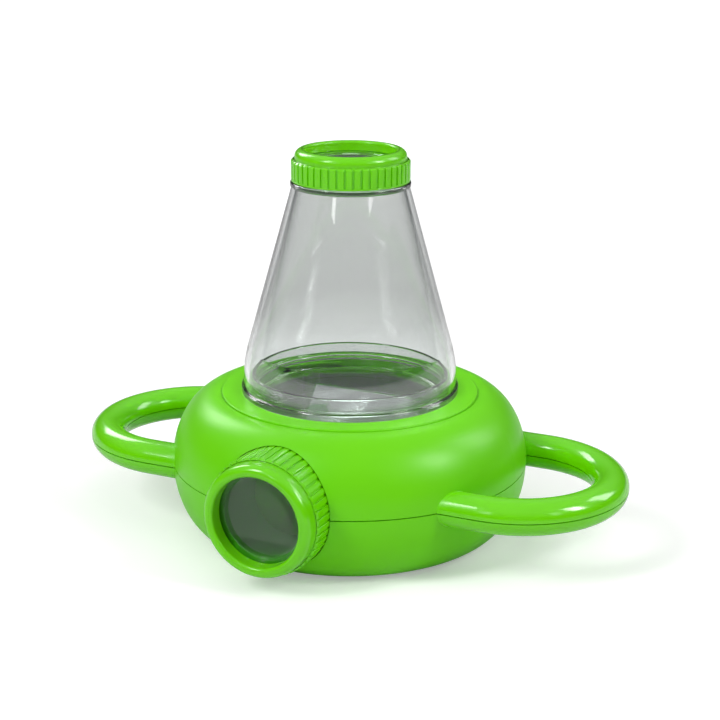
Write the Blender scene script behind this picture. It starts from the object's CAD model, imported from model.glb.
"""Looks of a two-way bug viewer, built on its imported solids.

The turned, ribbed and clear pieces are made again with their fine edges, and every surface gets its
finish. Sizes in the classes are millimetres, and the meshes are metres in the frame of the solids.
"""

import logging
import math
from dataclasses import dataclass, field
from enum import Enum
from typing import Any

import bmesh
import bpy
from mathutils import Matrix, Quaternion, Vector


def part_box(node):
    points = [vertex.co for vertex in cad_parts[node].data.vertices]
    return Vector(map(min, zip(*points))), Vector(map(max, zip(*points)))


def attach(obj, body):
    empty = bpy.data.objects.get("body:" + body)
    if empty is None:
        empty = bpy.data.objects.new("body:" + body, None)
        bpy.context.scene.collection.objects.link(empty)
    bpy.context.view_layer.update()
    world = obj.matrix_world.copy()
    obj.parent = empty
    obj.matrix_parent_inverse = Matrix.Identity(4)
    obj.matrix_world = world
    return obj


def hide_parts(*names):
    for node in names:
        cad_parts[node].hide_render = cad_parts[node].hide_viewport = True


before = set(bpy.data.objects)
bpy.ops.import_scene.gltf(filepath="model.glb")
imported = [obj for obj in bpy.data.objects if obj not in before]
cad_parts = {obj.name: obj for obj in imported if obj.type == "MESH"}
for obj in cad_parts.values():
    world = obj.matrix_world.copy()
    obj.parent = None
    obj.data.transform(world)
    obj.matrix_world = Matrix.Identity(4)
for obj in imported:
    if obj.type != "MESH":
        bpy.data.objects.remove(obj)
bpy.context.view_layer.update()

log = logging.getLogger("bug_viewer")
MM = 0.001


class Body(Enum):
    """Bodies of the viewer that rebuilt pieces ride on."""

    DISH = "dish_carrier"
    JAR = "jar_body"
    TOP_LENS = "top_lens_carrier"
    TOP_CAP = "top_cap_body"
    EYEPIECE_LENS = "eyepiece_lens_carrier"
    EYEPIECE_CAP = "eyepiece_cap_body"


class Slot(Enum):
    """Material slots of the record that the rebuilt pieces use."""

    GREEN = "green_plastic"
    CLEAR = "clear_plastic"
    LENS = "lens_acrylic"


# Colour and node helpers


def linear(colour: str) -> tuple[float, float, float, float]:
    """Turn an sRGB hex colour into linear light.

    Args:
        colour: six hex digits after a hash.

    Returns:
        Red, green, blue and an alpha of 1.
    """
    shares = [int(colour[place : place + 2], 16) / 255 for place in (1, 3, 5)]
    light = [share / 12.92 if share <= 0.04045 else ((share + 0.055) / 1.055) ** 2.4 for share in shares]
    return (light[0], light[1], light[2], 1.0)


def add_node(
    tree: bpy.types.NodeTree,
    kind: str,
    settings: dict[str, Any] | None = None,
    inputs: dict[str | int, Any] | None = None,
) -> bpy.types.Node:
    """Add one node with its settings and links.

    Args:
        tree: tree that gets the node.
        kind: Blender's name for the kind of node.
        settings: properties of the node.
        inputs: values or output sockets for its inputs, by name or place.

    Returns:
        The new node.
    """
    node = tree.nodes.new(kind)
    for name, value in (settings or {}).items():
        setattr(node, name, value)
    for name, value in (inputs or {}).items():
        if isinstance(value, bpy.types.NodeSocket):
            tree.links.new(value, node.inputs[name])
        else:
            node.inputs[name].default_value = value
    return node


def new_material(
    name: str,
) -> tuple[bpy.types.Material, bpy.types.NodeTree, bpy.types.Node, bpy.types.NodeSocket]:
    """Make a material with one Principled shader.

    Args:
        name: name of the finish.

    Returns:
        The material, its node tree, its shader node and the place on the object, in metres.
    """
    material = bpy.data.materials.new(name)
    material.use_nodes = True
    tree = material.node_tree
    place = add_node(tree, "ShaderNodeTexCoord").outputs["Object"]
    return material, tree, tree.nodes["Principled BSDF"], place


# Finishes


@dataclass(frozen=True)
class MouldedAbs:
    """ABS moulded against a lightly blasted tool.

    The eye gets a strong even green, a broad soft sheen from the blasted grain, and a tight gloss
    where the tool was polished: outside a given distance from the jar's axis, or in faint clouds
    where no distance is given.
    """

    name: str
    colour: str
    flow_colour: str
    roughness: float
    polished_roughness: float
    polished_from: float | None = None
    polish_blend: float = 4.0
    flow_size: float = 38.0
    grain_size: float = 0.9
    grain_height: float = 0.0035
    specular: float = 0.2
    polished_specular: float = 0.42
    cloud_span: tuple[float, float] = (0.35, 0.65)
    ior: float = 1.53

    def material(self) -> bpy.types.Material:
        """Build the node material."""
        material, tree, shader, place = new_material(self.name)
        # Melt flow: wide faint clouds in the colour, as thick and thin walls cool at their own pace
        flow = add_node(
            tree,
            "ShaderNodeTexNoise",
            inputs={"Vector": place, "Scale": 1 / (self.flow_size * MM), "Detail": 2.0, "Roughness": 0.4},
        )
        tint = add_node(
            tree,
            "ShaderNodeMix",
            {"data_type": "RGBA"},
            {0: flow.outputs["Fac"], 6: linear(self.colour), 7: linear(self.flow_colour)},
        )
        # Gloss: satin on the body, polished on the handles that stand out from it
        polish, (low, high) = flow.outputs["Fac"], self.cloud_span
        if self.polished_from is not None:
            flat = add_node(
                tree, "ShaderNodeVectorMath", {"operation": "MULTIPLY"}, {0: place, 1: (1.0, 1.0, 0.0)}
            )
            reach = add_node(
                tree, "ShaderNodeVectorMath", {"operation": "LENGTH"}, {0: flat.outputs["Vector"]}
            )
            polish, low = reach.outputs["Value"], self.polished_from * MM
            high = low + self.polish_blend * MM
        share = add_node(
            tree, "ShaderNodeMapRange", inputs={"Value": polish, "From Min": low, "From Max": high}
        ).outputs["Result"]
        gloss = add_node(
            tree,
            "ShaderNodeMapRange",
            inputs={"Value": share, "To Min": self.roughness, "To Max": self.polished_roughness},
        )
        shine = add_node(
            tree,
            "ShaderNodeMapRange",
            inputs={"Value": share, "To Min": self.specular, "To Max": self.polished_specular},
        )
        # Blasted grain, drawn coarser than the real tenth of a millimetre so that it shows
        grain = add_node(
            tree,
            "ShaderNodeTexNoise",
            inputs={"Vector": place, "Scale": 1 / (self.grain_size * MM), "Detail": 2.0},
        )
        bump = add_node(
            tree,
            "ShaderNodeBump",
            inputs={"Strength": 1.0, "Distance": self.grain_height * MM, "Height": grain.outputs["Fac"]},
        )
        tree.links.new(tint.outputs[2], shader.inputs["Base Color"])
        tree.links.new(gloss.outputs["Result"], shader.inputs["Roughness"])
        tree.links.new(shine.outputs["Result"], shader.inputs["Specular IOR Level"])
        tree.links.new(bump.outputs["Normal"], shader.inputs["Normal"])
        shader.inputs["IOR"].default_value = self.ior
        return material


@dataclass(frozen=True)
class ClearMoulding:
    """Clear plastic from a polished tool.

    The eye gets dark edges where it looks along the wall, through more of the faintly smoky melt,
    bright streaks from the lamps, and a faint wave where the melt met. Where an edge colour is given,
    the wall between the heights of its foot and its top is tinted, and the rims beyond stay pale.
    """

    name: str
    colour: str
    ior: float
    smoke: float
    edge_colour: str | None = None
    edge_span: tuple[float, float] = (0.45, 0.88)
    rim_colour: str = "#F6F9F8"
    wall_foot: tuple[float, float] = (68.0, 96.0)
    wall_top: float = 148.3
    smoke_colour: str = "#3C4448"
    wave_size: float = 26.0
    wave_height: float = 0.012

    def material(self) -> bpy.types.Material:
        """Build the node material."""
        material, tree, shader, place = new_material(self.name)
        wave = add_node(
            tree,
            "ShaderNodeTexNoise",
            inputs={"Vector": place, "Scale": 1 / (self.wave_size * MM), "Detail": 1.0},
        )
        bump = add_node(
            tree,
            "ShaderNodeBump",
            inputs={"Strength": 1.0, "Distance": self.wave_height * MM, "Height": wave.outputs["Fac"]},
        )
        # Smoke of the melt, as a share that is lost over each metre of the wall
        smoke = add_node(
            tree,
            "ShaderNodeVolumeAbsorption",
            inputs={"Color": linear(self.smoke_colour), "Density": self.smoke},
        )
        tree.links.new(smoke.outputs[0], tree.nodes["Material Output"].inputs["Volume"])
        tree.links.new(bump.outputs["Normal"], shader.inputs["Normal"])
        shader.inputs["Base Color"].default_value = linear(self.colour)
        if self.edge_colour is not None:
            # A thin wall seen edge on: more of the melt is in the way, so the outline is drawn darker
            aslant = add_node(tree, "ShaderNodeLayerWeight", inputs={"Blend": 0.5})
            depth = add_node(
                tree,
                "ShaderNodeMapRange",
                {"interpolation_type": "SMOOTHSTEP"},
                {
                    "Value": aslant.outputs["Facing"],
                    "From Min": self.edge_span[0],
                    "From Max": self.edge_span[1],
                },
            )
            wall = add_node(
                tree,
                "ShaderNodeMix",
                {"data_type": "RGBA"},
                {0: depth.outputs["Result"], 6: linear(self.colour), 7: linear(self.edge_colour)},
            )
            # Flange and lip: thick polished rims that gather the light and stay pale
            height = add_node(tree, "ShaderNodeSeparateXYZ", inputs={0: place}).outputs["Z"]
            rise = add_node(
                tree,
                "ShaderNodeMapRange",
                inputs={
                    "Value": height,
                    "From Min": self.wall_foot[0] * MM,
                    "From Max": self.wall_foot[1] * MM,
                },
            )
            below = add_node(
                tree, "ShaderNodeMath", {"operation": "LESS_THAN"}, {0: height, 1: self.wall_top * MM}
            )
            share = add_node(
                tree, "ShaderNodeMath", {"operation": "MULTIPLY"}, {0: rise.outputs[0], 1: below.outputs[0]}
            )
            tint = add_node(
                tree,
                "ShaderNodeMix",
                {"data_type": "RGBA"},
                {0: share.outputs[0], 6: linear(self.rim_colour), 7: wall.outputs[2]},
            )
            tree.links.new(tint.outputs[2], shader.inputs["Base Color"])
        shader.inputs["Roughness"].default_value = 0.0
        shader.inputs["IOR"].default_value = self.ior
        shader.inputs["Transmission Weight"].default_value = 1.0
        return material


@dataclass(frozen=True)
class SilveredSheet:
    """Plastic mirror sheet: a bright metal coat with a faint ripple from the sheet under it."""

    name: str = "silvered_acrylic_sheet"
    colour: str = "#E4E6E8"
    roughness: float = 0.03
    ripple_size: float = 14.0
    ripple_height: float = 0.004

    def material(self) -> bpy.types.Material:
        """Build the node material."""
        material, tree, shader, place = new_material(self.name)
        ripple = add_node(
            tree,
            "ShaderNodeTexNoise",
            inputs={"Vector": place, "Scale": 1 / (self.ripple_size * MM), "Detail": 1.0},
        )
        bump = add_node(
            tree,
            "ShaderNodeBump",
            inputs={"Strength": 1.0, "Distance": self.ripple_height * MM, "Height": ripple.outputs["Fac"]},
        )
        tree.links.new(bump.outputs["Normal"], shader.inputs["Normal"])
        shader.inputs["Base Color"].default_value = linear(self.colour)
        shader.inputs["Metallic"].default_value = 1.0
        shader.inputs["Roughness"].default_value = self.roughness
        return material


@dataclass(frozen=True)
class PlatedSteel:
    """Zinc plate on steel wire: a cool grey metal in faint duller and brighter patches."""

    name: str = "zinc_plated_steel"
    colour: str = "#B9BCC0"
    worn_colour: str = "#8D9096"
    patch_size: float = 1.6
    roughness_span: tuple[float, float] = (0.28, 0.46)

    def material(self) -> bpy.types.Material:
        """Build the node material."""
        material, tree, shader, place = new_material(self.name)
        patch = add_node(
            tree,
            "ShaderNodeTexNoise",
            inputs={"Vector": place, "Scale": 1 / (self.patch_size * MM), "Detail": 3.0},
        )
        tint = add_node(
            tree,
            "ShaderNodeMix",
            {"data_type": "RGBA"},
            {0: patch.outputs["Fac"], 6: linear(self.colour), 7: linear(self.worn_colour)},
        )
        dull = add_node(
            tree,
            "ShaderNodeMapRange",
            inputs={
                "Value": patch.outputs["Fac"],
                "To Min": self.roughness_span[0],
                "To Max": self.roughness_span[1],
            },
        )
        tree.links.new(tint.outputs[2], shader.inputs["Base Color"])
        tree.links.new(dull.outputs["Result"], shader.inputs["Roughness"])
        shader.inputs["Metallic"].default_value = 1.0
        return material


@dataclass(frozen=True)
class FoamTape:
    """White closed-cell foam: a chalky face with fine open cells along the cut edge."""

    name: str = "closed_cell_foam_tape"
    colour: str = "#E6E4DC"
    cell_colour: str = "#C9C6BB"
    cell_size: float = 0.7
    cell_depth: float = 0.05
    roughness: float = 0.9

    def material(self) -> bpy.types.Material:
        """Build the node material."""
        material, tree, shader, place = new_material(self.name)
        cells = add_node(
            tree, "ShaderNodeTexVoronoi", inputs={"Vector": place, "Scale": 1 / (self.cell_size * MM)}
        )
        tint = add_node(
            tree,
            "ShaderNodeMix",
            {"data_type": "RGBA"},
            {0: cells.outputs["Distance"], 6: linear(self.cell_colour), 7: linear(self.colour)},
        )
        bump = add_node(
            tree,
            "ShaderNodeBump",
            inputs={
                "Strength": 0.6,
                "Distance": self.cell_depth * MM,
                "Height": cells.outputs["Distance"],
            },
        )
        tree.links.new(tint.outputs[2], shader.inputs["Base Color"])
        tree.links.new(bump.outputs["Normal"], shader.inputs["Normal"])
        shader.inputs["Roughness"].default_value = self.roughness
        return material


@dataclass(frozen=True)
class Finishes:
    """The materials of the viewer, made once."""

    shell: bpy.types.Material
    cap: bpy.types.Material
    inner: bpy.types.Material
    jar: bpy.types.Material
    dish: bpy.types.Material
    lens: bpy.types.Material
    mirror: bpy.types.Material
    steel: bpy.types.Material
    tape: bpy.types.Material

    @staticmethod
    def make() -> "Finishes":
        """Make every finish."""
        green, flow = "#6CD000", "#65CA00"
        shell = MouldedAbs("satin_moulded_abs", green, flow, 0.36, 0.15, polished_from=74.5)
        cap = MouldedAbs("gloss_moulded_abs", green, flow, 0.24, 0.16, grain_height=0.002, specular=0.3)
        inner = MouldedAbs("inner_moulded_abs", "#3FA400", "#389A00", 0.54, 0.42, polished_specular=0.3)
        jar = ClearMoulding("clear_moulded_polystyrene", "#DCDEDD", 1.56, 8.0, "#2C3235")
        dish = ClearMoulding("clear_moulded_styrene_cup", "#ECEFED", 1.56, 12.0)
        lens = ClearMoulding("clear_moulded_acrylic", "#BED2BB", 1.49, 10.0, wave_height=0.001)
        return Finishes(
            shell=shell.material(),
            cap=cap.material(),
            inner=inner.material(),
            jar=jar.material(),
            dish=dish.material(),
            lens=lens.material(),
            mirror=SilveredSheet().material(),
            steel=PlatedSteel().material(),
            tape=FoamTape().material(),
        )


# Turned shapes


@dataclass(frozen=True)
class Corner:
    """One corner of an outline: distance from the axis, height and rounding."""

    radius: float
    height: float
    rounding: float = 0.0


ARC_STEP = math.radians(11)
GUARD = 0.22
SHARP_ANGLE = 35.0


def rounded(corners: list[Corner]) -> list[tuple[float, float]]:
    """Round the corners of a closed outline.

    A guard point on each side of an arc keeps the smooth shading of the arc off the flat beside it.

    Args:
        corners: the outline's corners in order.

    Returns:
        Points as distance from the axis and height.
    """
    points: list[tuple[float, float]] = []
    for place, corner in enumerate(corners):
        here = Vector((corner.radius, corner.height))
        if corner.rounding == 0:
            points.append(tuple(here))
            continue
        before, after = corners[place - 1], corners[(place + 1) % len(corners)]
        back = (Vector((before.radius, before.height)) - here).normalized()
        ahead = (Vector((after.radius, after.height)) - here).normalized()
        turn = math.pi - back.angle(ahead)
        reach = corner.rounding * math.tan(turn / 2)
        middle = here + (back + ahead).normalized() * (corner.rounding / math.cos(turn / 2))
        first = here + back * reach
        side = 1 if back.x * ahead.y - back.y * ahead.x < 0 else -1
        steps = max(2, round(turn / ARC_STEP))
        points.append(tuple(first + back * min(GUARD, reach)))
        for step in range(steps + 1):
            angle = side * turn * step / steps
            arm = first - middle
            points.append(
                (
                    middle.x + arm.x * math.cos(angle) - arm.y * math.sin(angle),
                    middle.y + arm.x * math.sin(angle) + arm.y * math.cos(angle),
                )
            )
        points.append(tuple(here + ahead * (reach + min(GUARD, reach))))
    return points


def dome(radius: float, rise: float, height: float, steps: int = 20) -> list[tuple[float, float]]:
    """Points of a shallow round dome, from its top on the axis out to its edge.

    Args:
        radius: distance of the edge from the axis.
        rise: how far the top stands over the edge, below 0 for a dome that hangs.
        height: height of the edge.
        steps: how many pieces the arc has.

    Returns:
        Points as distance from the axis and height.
    """
    ball = (radius**2 + rise**2) / (2 * abs(rise))
    spread = math.asin(radius / ball)
    lift = math.copysign(1.0, rise)
    return [
        (
            ball * math.sin(spread * step / steps),
            height + lift * (ball * math.cos(spread * step / steps) - (ball - abs(rise))),
        )
        for step in range(steps + 1)
    ]


def turned(outline: list[tuple[float, float]], segments: int = 160) -> bmesh.types.BMesh:
    """Turn a closed outline about the Z axis.

    Args:
        outline: points as distance from the axis and height, in millimetres.
        segments: how many steps the turn has.

    Returns:
        A closed mesh in metres.
    """
    shape = bmesh.new()
    rings = []
    for radius, height in outline:
        if radius < 1e-6:
            rings.append([shape.verts.new((0, 0, height * MM))] * segments)
            continue
        ring = []
        for step in range(segments):
            angle = 2 * math.pi * step / segments
            spot = (radius * math.cos(angle) * MM, radius * math.sin(angle) * MM, height * MM)
            ring.append(shape.verts.new(spot))
        rings.append(ring)
    for place, ring in enumerate(rings):
        above = rings[(place + 1) % len(rings)]
        for step in range(segments):
            after = (step + 1) % segments
            loop = dict.fromkeys((ring[step], ring[after], above[after], above[step]))
            if len(loop) > 2:
                shape.faces.new(list(loop))
    bmesh.ops.recalc_face_normals(shape, faces=shape.faces)
    return shape


def finished_mesh(
    shape: bmesh.types.BMesh,
    name: str,
    material: bpy.types.Material,
    seat: Matrix | None = None,
    sharp_angle: float = SHARP_ANGLE,
) -> bpy.types.Mesh:
    """Turn a working mesh into a smooth-shaded one at its seat.

    Args:
        shape: the working mesh, which is freed.
        name: name of the mesh.
        material: its finish.
        seat: where it goes in the frame, or None for where it is.
        sharp_angle: edges that turn more than this, in degrees, stay sharp.

    Returns:
        The mesh.
    """
    mesh = bpy.data.meshes.new(name)
    shape.to_mesh(mesh)
    shape.free()
    if seat is not None:
        mesh.transform(seat)
    mesh.materials.append(material)
    smooth_shade(mesh, sharp_angle)
    return mesh


def smooth_shade(mesh: bpy.types.Mesh, sharp_angle: float) -> None:
    """Shade a mesh smooth, except over edges that turn more than an angle in degrees."""
    mesh.polygons.foreach_set("use_smooth", [True] * len(mesh.polygons))
    mesh.set_sharp_from_angle(angle=math.radians(sharp_angle))


def add_piece(
    name: str,
    mesh: bpy.types.Mesh,
    body: Body,
    stands_for: tuple[str, ...] = (),
    casts_shadow: bool = True,
) -> None:
    """Put a finished mesh into the scene as a piece that rides on a body.

    Args:
        name: name of the piece.
        mesh: its mesh, in the frame of the solids.
        body: body that it moves with.
        stands_for: solids that it is shown instead of.
        casts_shadow: whether it keeps the lamps' light from what is behind it.
    """
    piece = bpy.data.objects.new(name, mesh)
    bpy.context.scene.collection.objects.link(piece)
    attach(piece, body.value)
    if stands_for:
        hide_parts(*stands_for)
    piece.visible_shadow = casts_shadow
    log.info("%s: %d faces on %s", name, len(mesh.polygons), body.value)


# Geometry node trees for what repeats or follows a path


def geometry_tree(name: str, sockets: dict[str, str]) -> tuple[bpy.types.NodeTree, dict[str, Any]]:
    """Start a geometry node tree with named inputs.

    Args:
        name: name of the tree.
        sockets: kind of each input socket, by its name.

    Returns:
        The tree and its input sockets by name.
    """
    tree = bpy.data.node_groups.new(name, "GeometryNodeTree")
    for label, kind in sockets.items():
        tree.interface.new_socket(name=label, in_out="INPUT", socket_type=kind)
    tree.interface.new_socket(name="Geometry", in_out="OUTPUT", socket_type="NodeSocketGeometry")
    source = add_node(tree, "NodeGroupInput")
    return tree, {label: source.outputs[label] for label in sockets}


def end_tree(
    tree: bpy.types.NodeTree, geometry: bpy.types.NodeSocket, material: bpy.types.NodeSocket
) -> None:
    """Close a tree with plain geometry that carries its material."""
    plain = add_node(tree, "GeometryNodeRealizeInstances", inputs={"Geometry": geometry})
    dressed = add_node(
        tree, "GeometryNodeSetMaterial", inputs={"Geometry": plain.outputs[0], "Material": material}
    )
    add_node(tree, "NodeGroupOutput", inputs={0: dressed.outputs[0]})


def grown_mesh(tree: bpy.types.NodeTree, name: str, values: dict[str, Any], seat: Matrix) -> bpy.types.Mesh:
    """Run a geometry node tree once and keep the result as a plain mesh.

    Args:
        tree: the tree.
        name: name of the mesh.
        values: values of the tree's inputs, by name.
        seat: where the mesh goes in the frame.

    Returns:
        The mesh.
    """
    host = bpy.data.objects.new(name, bpy.data.meshes.new(name))
    bpy.context.scene.collection.objects.link(host)
    modifier = host.modifiers.new(tree.name, "NODES")
    modifier.node_group = tree
    for item in tree.interface.items_tree:
        if item.in_out == "INPUT":
            modifier[item.identifier] = values[item.name]
    made = host.evaluated_get(bpy.context.evaluated_depsgraph_get())
    mesh = bpy.data.meshes.new_from_object(made)
    bpy.data.objects.remove(host)
    mesh.name = name
    mesh.transform(seat)
    smooth_shade(mesh, SHARP_ANGLE)
    return mesh


FLOAT = "NodeSocketFloat"
WHOLE = "NodeSocketInt"
MATERIAL = "NodeSocketMaterial"


def grip_tree() -> bpy.types.NodeTree:
    """Tree that sets upright grip lands round a cap, each with a sloping top."""
    tree, size = geometry_tree(
        "grip_lands",
        {
            "Count": WHOLE,
            "Radius": FLOAT,
            "Width": FLOAT,
            "Depth": FLOAT,
            "Foot": FLOAT,
            "Height": FLOAT,
            "Slope": FLOAT,
            "Rounding": FLOAT,
            "Material": MATERIAL,
        },
    )
    outline = add_node(
        tree,
        "GeometryNodeCurvePrimitiveQuadrilateral",
        {"mode": "RECTANGLE"},
        {"Width": size["Depth"], "Height": size["Width"]},
    )
    eased = add_node(
        tree,
        "GeometryNodeFilletCurve",
        {"mode": "POLY"},
        {"Curve": outline.outputs[0], "Count": 3, "Radius": size["Rounding"]},
    )
    foot = add_node(tree, "GeometryNodeFillCurve", {"mode": "NGONS"}, {"Curve": eased.outputs[0]})
    stem = add_node(
        tree, "ShaderNodeMath", {"operation": "SUBTRACT"}, {0: size["Height"], 1: size["Slope"]}
    )
    upright = add_node(
        tree,
        "GeometryNodeExtrudeMesh",
        {"mode": "FACES"},
        {"Mesh": foot.outputs[0], "Offset Scale": stem.outputs[0]},
    )
    top = add_node(
        tree,
        "GeometryNodeExtrudeMesh",
        {"mode": "FACES"},
        {"Mesh": upright.outputs["Mesh"], "Selection": upright.outputs["Top"], "Offset Scale": size["Slope"]},
    )
    inward = add_node(tree, "ShaderNodeMath", {"operation": "MULTIPLY"}, {0: size["Slope"], 1: -1.0})
    lean = add_node(tree, "ShaderNodeCombineXYZ", inputs={"X": inward.outputs[0]})
    sloped = add_node(
        tree,
        "GeometryNodeSetPosition",
        inputs={"Geometry": top.outputs["Mesh"], "Selection": top.outputs["Top"], "Offset": lean.outputs[0]},
    )
    underside = add_node(tree, "GeometryNodeFlipFaces", inputs={"Mesh": foot.outputs[0]})
    land = add_node(tree, "GeometryNodeJoinGeometry")
    tree.links.new(sloped.outputs[0], land.inputs[0])
    tree.links.new(underside.outputs[0], land.inputs[0])
    half = add_node(tree, "ShaderNodeMath", {"operation": "MULTIPLY"}, {0: size["Depth"], 1: 0.5})
    middle = add_node(
        tree, "ShaderNodeMath", {"operation": "SUBTRACT"}, {0: size["Radius"], 1: half.outputs[0]}
    )
    lift = add_node(tree, "ShaderNodeCombineXYZ", inputs={"Z": size["Foot"]})
    raised = add_node(
        tree, "GeometryNodeTransform", inputs={"Geometry": land.outputs[0], "Translation": lift.outputs[0]}
    )
    ring = add_node(
        tree,
        "GeometryNodeMeshCircle",
        {"fill_type": "NONE"},
        {"Vertices": size["Count"], "Radius": middle.outputs[0]},
    )
    spot = add_node(tree, "GeometryNodeInputPosition")
    facing = add_node(
        tree, "FunctionNodeAlignRotationToVector", {"axis": "X"}, {"Vector": spot.outputs[0]}
    )
    lands = add_node(
        tree,
        "GeometryNodeInstanceOnPoints",
        inputs={
            "Points": ring.outputs[0],
            "Instance": raised.outputs[0],
            "Rotation": facing.outputs[0],
        },
    )
    end_tree(tree, lands.outputs[0], size["Material"])
    return tree


def lug_tree() -> bpy.types.NodeTree:
    """Tree that winds screw lugs round a wall, each a short stretch of a helix."""
    tree, size = geometry_tree(
        "screw_lugs",
        {
            "Count": WHOLE,
            "Radius": FLOAT,
            "Reach": FLOAT,
            "Root": FLOAT,
            "Thickness": FLOAT,
            "Turns": FLOAT,
            "Climb": FLOAT,
            "Material": MATERIAL,
        },
    )
    track = add_node(
        tree,
        "GeometryNodeCurveSpiral",
        inputs={
            "Resolution": 160,
            "Rotations": size["Turns"],
            "Start Radius": size["Radius"],
            "End Radius": size["Radius"],
            "Height": size["Climb"],
            "Reverse": True,
        },
    )
    upright = add_node(tree, "GeometryNodeSetCurveNormal", {"mode": "Z_UP"}, {"Curve": track.outputs[0]})
    corners = {}
    section_corners = ((-0.5, "Root"), (0.5, "Root"), (0.25, "Reach"), (-0.25, "Reach"))
    for place, (share, out) in enumerate(section_corners, 1):
        across = add_node(tree, "ShaderNodeMath", {"operation": "MULTIPLY"}, {0: size["Thickness"], 1: share})
        corner = add_node(tree, "ShaderNodeCombineXYZ", inputs={"X": size[out], "Y": across.outputs[0]})
        corners[f"Point {place}"] = corner.outputs[0]
    section = add_node(tree, "GeometryNodeCurvePrimitiveQuadrilateral", {"mode": "POINTS"}, corners)
    lug = add_node(
        tree,
        "GeometryNodeCurveToMesh",
        inputs={"Curve": upright.outputs[0], "Profile Curve": section.outputs[0], "Fill Caps": True},
    )
    ring = add_node(
        tree, "GeometryNodeMeshCircle", {"fill_type": "NONE"}, {"Vertices": size["Count"], "Radius": 1.0}
    )
    spot = add_node(tree, "GeometryNodeInputPosition")
    facing = add_node(
        tree, "FunctionNodeAlignRotationToVector", {"axis": "X"}, {"Vector": spot.outputs[0]}
    )
    lugs = add_node(
        tree,
        "GeometryNodeInstanceOnPoints",
        inputs={"Points": ring.outputs[0], "Instance": lug.outputs[0], "Rotation": facing.outputs[0]},
    )
    home = add_node(tree, "ShaderNodeVectorMath", {"operation": "SCALE"}, {0: spot.outputs[0], "Scale": -1.0})
    centred = add_node(
        tree, "GeometryNodeSetPosition", inputs={"Geometry": lugs.outputs[0], "Offset": home.outputs[0]}
    )
    end_tree(tree, centred.outputs[0], size["Material"])
    return tree


# Sub-assemblies


@dataclass
class ScrewLugs:
    """The lugs of one screw thread, about the axis of the piece that carries them."""

    radius: float
    reach: float
    thickness: float
    arc: float
    lead: float
    count: int = 3
    root: float = 0.4

    def mesh(self, name: str, start: float, material: bpy.types.Material, seat: Matrix) -> bpy.types.Mesh:
        """Wind the lugs.

        Args:
            name: name of the mesh.
            start: height of a lug's low end over the seat, in millimetres.
            material: their finish.
            seat: where the thread's axis is in the frame.

        Returns:
            One mesh for all lugs.
        """
        turns = self.arc / 360
        outward = math.copysign(1.0, self.reach)
        values = {
            "Count": self.count,
            "Radius": self.radius * MM,
            "Reach": self.reach * MM,
            "Root": -outward * self.root * MM,
            "Thickness": self.thickness * MM,
            "Turns": turns,
            "Climb": self.lead * turns * MM,
            "Material": material,
        }
        return grown_mesh(lug_tree(), name, values, seat @ Matrix.Translation((0, 0, start * MM)))


@dataclass
class Shells:
    """Base of the viewer: its moulded shells and all that they carry, shown as their solids."""

    green: tuple[str, ...] = ("upper_shell", "lower_shell", "seat_ring")
    inner: tuple[str, ...] = (
        "eyepiece_barrel",
        "mirror_bracket",
        "top_lens_retainer",
        "eyepiece_lens_retainer",
    )
    steel: tuple[str, ...] = ("body_screws", "handle_screws", "bracket_screws")

    def dress(self, finishes: Finishes) -> None:
        """Give each solid its finish."""
        wear = {name: finishes.shell for name in self.green}
        wear |= {name: finishes.inner for name in self.inner}
        wear |= {name: finishes.steel for name in self.steel}
        wear |= {"mirror": finishes.mirror, "mirror_tape": finishes.tape}
        for name, material in wear.items():
            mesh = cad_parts[name].data
            mesh.materials.clear()
            mesh.materials.append(material)
            log.info("%s: dressed in %s", name, material.name)


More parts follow.
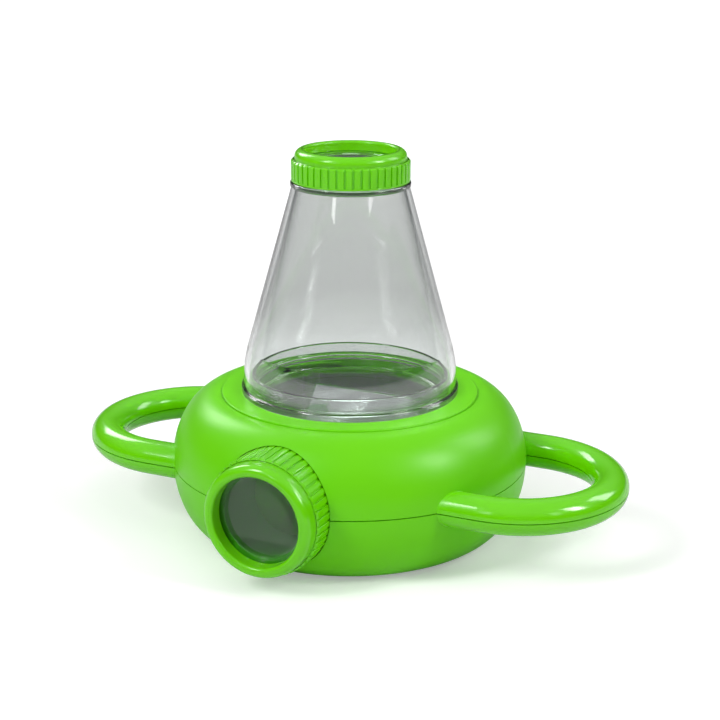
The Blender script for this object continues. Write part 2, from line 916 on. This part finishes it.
@dataclass
class MagnifierCap:
    """Ribbed screw cap: a turned core with a smooth ring, grip lands round its band, lugs inside."""

    node: str
    body: Body
    seat: Matrix
    band_height: float
    ring_height: float
    ring_radius: float
    recess: float
    band_radius: float = 24.5
    thread_radius: float = 22.25
    opening_radius: float = 18.7
    pocket_radius: float = 20.7
    pocket_depth: float = 3.3
    ring_rounding: float = 3.0
    opening_rounding: float = 1.2
    edge_rounding: float = 0.3
    groove_foot: float = 0.8
    groove_width: float = 0.9
    groove_depth: float = 0.6
    land_count: int = 46
    land_slope: float = 0.7
    land_rounding: float = 0.3
    land_root: float = 0.4
    lug_drop: float = 7.1
    lugs: ScrewLugs = field(
        default_factory=lambda: ScrewLugs(radius=22.25, reach=-1.05, thickness=1.1, arc=46.0, lead=9.0)
    )

    def core(self) -> list[Corner]:
        """Outline of the turned core, from the thread's foot round the outside to the lens pocket."""
        top = self.band_height + self.ring_height
        lens_seat = top - self.recess
        thread_top = lens_seat - self.pocket_depth
        core_radius = self.band_radius - self.groove_depth
        return [
            Corner(self.thread_radius, 0, 0.15),
            Corner(self.band_radius, 0, self.edge_rounding),
            Corner(self.band_radius, self.groove_foot, 0.15),
            Corner(core_radius, self.groove_foot),
            Corner(core_radius, self.band_height, 0.15),
            Corner(self.ring_radius, self.band_height, 0.2),
            Corner(self.ring_radius, top, self.ring_rounding),
            Corner(self.opening_radius, top, self.opening_rounding),
            Corner(self.opening_radius, lens_seat),
            Corner(self.pocket_radius, lens_seat),
            Corner(self.pocket_radius, thread_top),
            Corner(self.thread_radius, thread_top),
        ]

    def build(self, finishes: Finishes) -> None:
        """Make the cap's core, its grip lands and its screw lugs."""
        core = finished_mesh(turned(rounded(self.core())), self.node + "_core", finishes.cap, self.seat)
        add_piece(self.node + "_core", core, self.body, (self.node,))
        pitch = 2 * math.pi * self.band_radius / self.land_count
        turn = Matrix.Rotation(math.pi / self.land_count, 4, "Z")
        values = {
            "Count": self.land_count,
            "Radius": self.band_radius * MM,
            "Width": (pitch - self.groove_width) * MM,
            "Depth": (self.groove_depth + self.land_root) * MM,
            "Foot": self.groove_foot * MM,
            "Height": (self.band_height - self.groove_foot) * MM,
            "Slope": self.land_slope * MM,
            "Rounding": self.land_rounding * MM,
            "Material": finishes.cap,
        }
        lands = grown_mesh(grip_tree(), self.node + "_lands", values, self.seat @ turn)
        add_piece(self.node + "_lands", lands, self.body)
        lug_height = self.band_height + self.ring_height - self.recess - self.lug_drop
        lugs = self.lugs.mesh(self.node + "_lugs", lug_height, finishes.cap, self.seat)
        add_piece(self.node + "_lugs", lugs, self.body)


@dataclass
class ClearJar:
    """Cone-shaped jar: flange and spigot below, screw neck above, one moulded wall between them."""

    node: str = "jar"
    wall: float = 2.0
    flange_thickness: float = 2.9
    flange_reach: float = 1.0
    band_height: float = 13.0
    cone_height: float = 74.5
    cone_blend: float = 45.0
    lip_radius: float = 24.9
    lip_step: float = 0.6
    lip_thickness: float = 1.9
    neck_radius: float = 20.9
    neck_wall: float = 2.2
    spigot_step: float = 1.3
    spigot_wall: float = 1.8
    spigot_depth: float = 4.7
    spigot_lug_rise: float = 0.75
    neck_lug_drop: float = 2.1
    segments: int = 224
    spigot_lugs: ScrewLugs = field(
        default_factory=lambda: ScrewLugs(radius=43.6, reach=1.1, thickness=1.3, arc=40.0, lead=12.0)
    )
    neck_lugs: ScrewLugs = field(
        default_factory=lambda: ScrewLugs(radius=20.9, reach=1.05, thickness=1.1, arc=46.0, lead=9.0)
    )

    def outline(self) -> list[Corner]:
        """Outline of the jar's wall, from the spigot's foot up the outside and down the inside."""
        low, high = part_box(self.node)
        foot = low.z / MM
        seat = foot + self.spigot_depth
        flange_top = seat + self.flange_thickness
        cone_base = seat + self.band_height
        cone_top = cone_base + self.cone_height
        lip_top = cone_top + self.lip_thickness
        rim = high.z / MM
        flange = high.x / MM
        band = flange - self.flange_reach
        spigot = band - self.spigot_step
        spigot_bore = spigot - self.spigot_wall
        bore = self.neck_radius - self.neck_wall
        cone_end = self.lip_radius - self.lip_step
        step = flange_top - self.wall / 2
        return [
            Corner(spigot_bore, foot, 0.2),
            Corner(spigot, foot, 0.3),
            Corner(spigot, seat),
            Corner(flange, seat, 0.4),
            Corner(flange, flange_top, 0.6),
            Corner(band, flange_top, 0.2),
            Corner(band, cone_base, self.cone_blend),
            Corner(cone_end, cone_top, 0.2),
            Corner(self.lip_radius, cone_top, 0.2),
            Corner(self.lip_radius, lip_top, 0.6),
            Corner(self.neck_radius, lip_top, 0.3),
            Corner(self.neck_radius, rim, 0.5),
            Corner(bore, rim, 0.5),
            Corner(bore, lip_top, 0.8),
            Corner(cone_end - self.wall, cone_top, 0.8),
            Corner(band - self.wall, cone_base, self.cone_blend),
            Corner(band - self.wall, step, 0.2),
            Corner(spigot_bore, step, 0.2),
        ]

    def build(self, finishes: Finishes) -> None:
        """Make the jar and the lugs of its two screw threads, which all let the lamps' light through."""
        mesh = finished_mesh(turned(rounded(self.outline()), self.segments), "jar_wall", finishes.jar)
        add_piece("jar_wall", mesh, Body.JAR, (self.node,), casts_shadow=False)
        low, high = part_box(self.node)
        low_height = low.z / MM + self.spigot_lug_rise
        high_height = high.z / MM - self.neck_lug_drop
        low_lugs = self.spigot_lugs.mesh("jar_spigot_lugs", low_height, finishes.jar, Matrix())
        high_lugs = self.neck_lugs.mesh("jar_neck_lugs", high_height, finishes.jar, Matrix())
        add_piece("jar_spigot_lugs", low_lugs, Body.JAR, casts_shadow=False)
        add_piece("jar_neck_lugs", high_lugs, Body.JAR, casts_shadow=False)


@dataclass
class SpecimenDish:
    """Clear cup that closes the jar's foot: floor, wall, snap bead and rim."""

    node: str = "specimen_dish"
    wall: float = 1.5
    floor: float = 1.8
    radius: float = 41.5
    bead_rise: float = 7.2
    bead_thickness: float = 1.2
    segments: int = 192

    def outline(self) -> list[Corner]:
        """Outline of the dish, from the middle of its underside round to the middle of its floor."""
        low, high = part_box(self.node)
        bottom, rim, bead = low.z / MM, high.z / MM, high.x / MM
        bead_low = bottom + self.bead_rise
        bead_high = bead_low + self.bead_thickness
        inner = self.radius - self.wall
        return [
            Corner(0, bottom),
            Corner(self.radius, bottom, 0.8),
            Corner(self.radius, bead_low),
            Corner(bead, bead_low, 0.3),
            Corner(bead, bead_high, 0.3),
            Corner(self.radius, bead_high),
            Corner(self.radius, rim, 0.5),
            Corner(inner, rim, 0.5),
            Corner(inner, bottom + self.floor, 1.2),
            Corner(0, bottom + self.floor),
        ]

    def build(self, finishes: Finishes) -> None:
        """Make the dish."""
        mesh = finished_mesh(turned(rounded(self.outline()), self.segments), "dish_cup", finishes.dish)
        add_piece("dish_cup", mesh, Body.DISH, (self.node,))


@dataclass
class MagnifierLens:
    """Double convex lens with a flat rim."""

    node: str
    body: Body
    seat: Matrix
    rim_back: float
    radius: float = 20.4
    edge: float = 1.7
    front_radius: float = 18.3
    front_rise: float = 1.4
    back_radius: float = 16.4
    back_rise: float = 1.5
    segments: int = 192
    sharp_angle: float = 12.0

    def build(self, finishes: Finishes) -> None:
        """Make the lens, which lets the lamps' light through."""
        rim_front = self.rim_back + self.edge
        front = dome(self.front_radius, self.front_rise, rim_front)
        back = dome(self.back_radius, -self.back_rise, self.rim_back)
        outline = front + [(self.radius, rim_front), (self.radius, self.rim_back)] + back[::-1]
        shape = turned(outline, self.segments)
        mesh = finished_mesh(shape, self.node + "_glass", finishes.lens, self.seat, self.sharp_angle)
        add_piece(self.node + "_glass", mesh, self.body, (self.node,), casts_shadow=False)


# Studio


class Role(Enum):
    """What a lamp does: light all, show in gloss and clear walls alone, or light dull surfaces alone."""

    KEY = "key"
    CARD = "card"
    FILL = "fill"


@dataclass(frozen=True)
class Softbox:
    """One rectangular lamp, placed by its direction from the object as the camera sees it."""

    name: str
    right: float
    back: float
    up: float
    width: float
    height: float
    watts: float
    role: Role = Role.KEY

    def hang(self, heading: Vector, aim: Vector, distance: float) -> None:
        """Put the lamp into the scene.

        Args:
            heading: level direction in which the camera looks.
            aim: point that the lamp looks at.
            distance: how far from that point it hangs, in metres.
        """
        data = bpy.data.lights.new(self.name, "AREA")
        data.shape = "RECTANGLE"
        data.size, data.size_y = self.width, self.height
        data.energy = self.watts
        lamp = bpy.data.objects.new(self.name, data)
        side = Vector((heading.y, -heading.x, 0))
        way = (side * self.right + heading * self.back + Vector((0, 0, self.up))).normalized()
        lamp.location = aim + way * distance
        lamp.rotation_euler = way.to_track_quat("Z", "Y").to_euler()
        lamp.visible_diffuse = self.role is not Role.CARD
        lamp.visible_glossy = self.role is not Role.FILL
        lamp.visible_transmission = self.role is not Role.FILL
        bpy.context.scene.collection.objects.link(lamp)


@dataclass
class Studio:
    """White table, soft lamps and the camera at the photograph's angle."""

    lamps: list[Softbox]
    camera_place: tuple[float, float, float] = (0.29404, -0.63230, 0.28643)
    camera_ahead: tuple[float, float, float] = (-0.39805, 0.86955, -0.29230)
    camera_roll: float = 0.0051
    focal_length: float = 86.157
    sensor_width: float = 36.0
    clip_span: tuple[float, float] = (0.01, 50.0)
    lamp_aim: tuple[float, float, float] = (0.0, 0.0, 0.07)
    lamp_distance: float = 1.3
    floor_size: float = 16.0
    floor_drop: float = 0.0002
    floor_colour: str = "#E6E6E6"
    floor_glow: tuple[float, float] = (0.32, 0.62)
    floor_fade: tuple[float, float] = (0.2, 1.0)
    floor_mirrored: float = 0.1
    room_low: float = 0.06
    room_high: float = 0.8
    room_through: float = 0.25
    tent_span: tuple[float, float] = (0.15, 0.85)

    def heading(self) -> Vector:
        """Level direction in which the camera looks."""
        return Vector((self.camera_ahead[0], self.camera_ahead[1], 0)).normalized()

    def set_camera(self) -> None:
        """Place the camera."""
        data = bpy.data.cameras.new("camera")
        data.lens = self.focal_length
        data.sensor_width = self.sensor_width
        data.clip_start, data.clip_end = self.clip_span
        camera = bpy.data.objects.new("camera", data)
        camera.location = self.camera_place
        aim = Vector(self.camera_ahead).to_track_quat("-Z", "Y")
        camera.rotation_euler = (aim @ Quaternion((0, 0, 1), self.camera_roll)).to_euler()
        bpy.context.scene.collection.objects.link(camera)
        bpy.context.scene.camera = camera

    def lay_floor(self) -> None:
        """Lay the white table, which keeps the object's shadow and fades out to white further off."""
        shape = bmesh.new()
        bmesh.ops.create_grid(shape, x_segments=1, y_segments=1, size=self.floor_size / 2)
        mesh = bpy.data.meshes.new("table")
        shape.to_mesh(mesh)
        shape.free()
        material, tree, shader, place = new_material("white_laminate_table")
        reach = add_node(tree, "ShaderNodeVectorMath", {"operation": "LENGTH"}, {0: place})
        fade = add_node(
            tree,
            "ShaderNodeMapRange",
            inputs={
                "Value": reach.outputs["Value"],
                "From Min": self.floor_fade[0],
                "From Max": self.floor_fade[1],
                "To Min": self.floor_glow[0],
                "To Max": self.floor_glow[1],
            },
        )
        ray = add_node(tree, "ShaderNodeLightPath")
        seen = add_node(
            tree,
            "ShaderNodeMath",
            {"operation": "MAXIMUM"},
            {0: ray.outputs["Is Camera Ray"], 1: ray.outputs["Is Transmission Ray"]},
        )
        shown = add_node(
            tree,
            "ShaderNodeMath",
            {"operation": "MULTIPLY_ADD"},
            {0: ray.outputs["Is Glossy Ray"], 1: self.floor_mirrored, 2: seen.outputs[0]},
        )
        glow = add_node(
            tree,
            "ShaderNodeMath",
            {"operation": "MULTIPLY"},
            {0: shown.outputs[0], 1: fade.outputs["Result"]},
        )
        tree.links.new(glow.outputs[0], shader.inputs["Emission Strength"])
        shader.inputs["Emission Color"].default_value = linear("#FFFFFF")
        shader.inputs["Base Color"].default_value = linear(self.floor_colour)
        shader.inputs["Roughness"].default_value = 0.9
        shader.inputs["Specular IOR Level"].default_value = 0.0
        mesh.materials.append(material)
        table = bpy.data.objects.new("table", mesh)
        table.location.z = -self.floor_drop
        bpy.context.scene.collection.objects.link(table)

    def light_room(self) -> None:
        """Light the room: a tent overhead, dark walls, white behind the object, less through clear walls."""
        world = bpy.data.worlds.new("studio")
        bpy.context.scene.world = world
        world.use_nodes = True
        tree = world.node_tree
        way = add_node(tree, "ShaderNodeTexCoord").outputs["Generated"]
        height = add_node(tree, "ShaderNodeSeparateXYZ", inputs={0: way})
        tent = add_node(
            tree,
            "ShaderNodeMapRange",
            {"interpolation_type": "SMOOTHSTEP"},
            {
                "Value": height.outputs["Z"],
                "From Min": self.tent_span[0],
                "From Max": self.tent_span[1],
                "To Min": self.room_low,
                "To Max": self.room_high,
            },
        )
        ray = add_node(tree, "ShaderNodeLightPath")
        seen = add_node(
            tree,
            "ShaderNodeMath",
            {"operation": "MULTIPLY_ADD"},
            {0: ray.outputs["Is Transmission Ray"], 1: self.room_through, 2: ray.outputs["Is Camera Ray"]},
        )
        level = add_node(
            tree,
            "ShaderNodeMix",
            {"data_type": "FLOAT"},
            {0: seen.outputs[0], 2: tent.outputs["Result"], 3: 1.0},
        )
        background = tree.nodes["Background"]
        background.inputs["Color"].default_value = linear("#FFFFFF")
        tree.links.new(level.outputs[0], background.inputs["Strength"])

    def build(self) -> None:
        """Set up camera, table, room and lamps."""
        self.set_camera()
        self.lay_floor()
        self.light_room()
        for lamp in self.lamps:
            lamp.hang(self.heading(), Vector(self.lamp_aim), self.lamp_distance)
        bpy.context.scene.view_settings.view_transform = "Standard"


def studio_lamps() -> list[Softbox]:
    """Lamps beside the camera, a low fill, and cards where the highlights show them."""
    # Each lamp: name, right, back, up, width and height in metres, watts, role
    return [
        Softbox("front_left", -0.62, -0.44, 0.62, 0.26, 0.50, 7.8),
        Softbox("front_right", 0.72, -0.36, 0.58, 0.24, 0.44, 5.4),
        Softbox("fill", 0.05, -0.98, 0.10, 0.60, 0.40, 1.0, Role.FILL),
        Softbox("back_left", -0.52, 0.64, 0.56, 0.44, 0.50, 7.0, Role.CARD),
        Softbox("front_right_card", 0.78, -0.33, 0.52, 0.20, 0.40, 5.0, Role.CARD),
        Softbox("back_right", 0.80, 0.25, 0.52, 0.40, 0.60, 6.0, Role.CARD),
        Softbox("strip_left", -0.46, -0.76, 0.46, 0.14, 0.34, 0.7, Role.CARD),
        Softbox("strip_right", 0.56, -0.69, 0.46, 0.20, 0.34, 0.7, Role.CARD),
    ]


def cap_seat(low: float, axis_height: float | None = None) -> Matrix:
    """Seat of a magnifier: its lower edge's middle, with the axis as Z.

    Args:
        low: where the cap's lower edge is along its axis, in metres.
        axis_height: height of a level axis that points forward, or None for an upright one.

    Returns:
        The seat as a matrix.
    """
    if axis_height is None:
        return Matrix.Translation((0, 0, low))
    return Matrix.Translation((0, low, axis_height)) @ Matrix.Rotation(math.pi / 2, 4, "X")


def main() -> None:
    """Build and dress the viewer, piece by piece, and set up the studio."""
    logging.basicConfig(level=logging.INFO, format="%(message)s")
    finishes = Finishes.make()
    Shells().dress(finishes)
    top_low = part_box("top_cap")[0]
    front_low, front_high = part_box("eyepiece_cap")
    top_seat = cap_seat(top_low.z)
    front_seat = cap_seat(front_high.y, (front_low.z + front_high.z) / 2)
    MagnifierCap(
        "top_cap",
        Body.TOP_CAP,
        top_seat,
        band_height=8.8,
        ring_height=4.1,
        ring_radius=23.1,
        recess=4.05,
    ).build(finishes)
    MagnifierCap(
        "eyepiece_cap",
        Body.EYEPIECE_CAP,
        front_seat,
        band_height=17.3,
        ring_height=6.7,
        ring_radius=23.3,
        recess=6.0,
    ).build(finishes)
    MagnifierLens("top_lens", Body.TOP_LENS, top_seat, rim_back=7.05).build(finishes)
    MagnifierLens("eyepiece_lens", Body.EYEPIECE_LENS, front_seat, rim_back=16.2).build(finishes)
    ClearJar().build(finishes)
    SpecimenDish().build(finishes)
    Studio(studio_lamps()).build()


if __name__ == "__main__":
    main()
